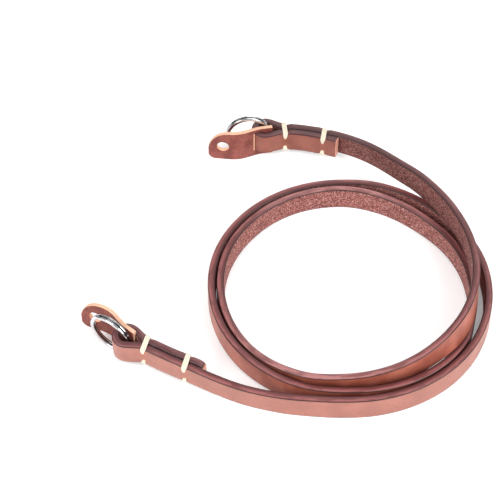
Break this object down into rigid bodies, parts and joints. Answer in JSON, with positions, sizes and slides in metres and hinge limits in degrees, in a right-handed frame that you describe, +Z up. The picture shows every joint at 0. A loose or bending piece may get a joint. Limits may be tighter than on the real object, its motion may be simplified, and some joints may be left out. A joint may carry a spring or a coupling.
{
  "type": "camera neck strap",
  "caption": "Narrow leather neck strap for a camera, coiled on its edge, with a folded and thread-bound eye, a split ring and a leather guard at each end.",
  "frame": {"origin": "on the surface that the strap stands on, under the middle of the whole coil's box", "axes": "+Z up, +X to the right of the coil and +Y away from the near end's side, as the coil is seen from its front"},
  "size_m": [0.1628, 0.1486, 0.0205],
  "materials": {
    "strap_leather": "smooth reddish-brown grain, rough flesh side, dark burnished edges",
    "guard_leather": "thin reddish-brown leather with raw cream edges",
    "ring_steel": "polished nickel-plated split ring"
  },
  "bodies": {
    "root": {"strap": "strap_leather", "guard_near": "guard_leather", "guard_far": "guard_leather", "ring_near": "ring_steel", "ring_far": "ring_steel"}
  },
  "joints": []
}
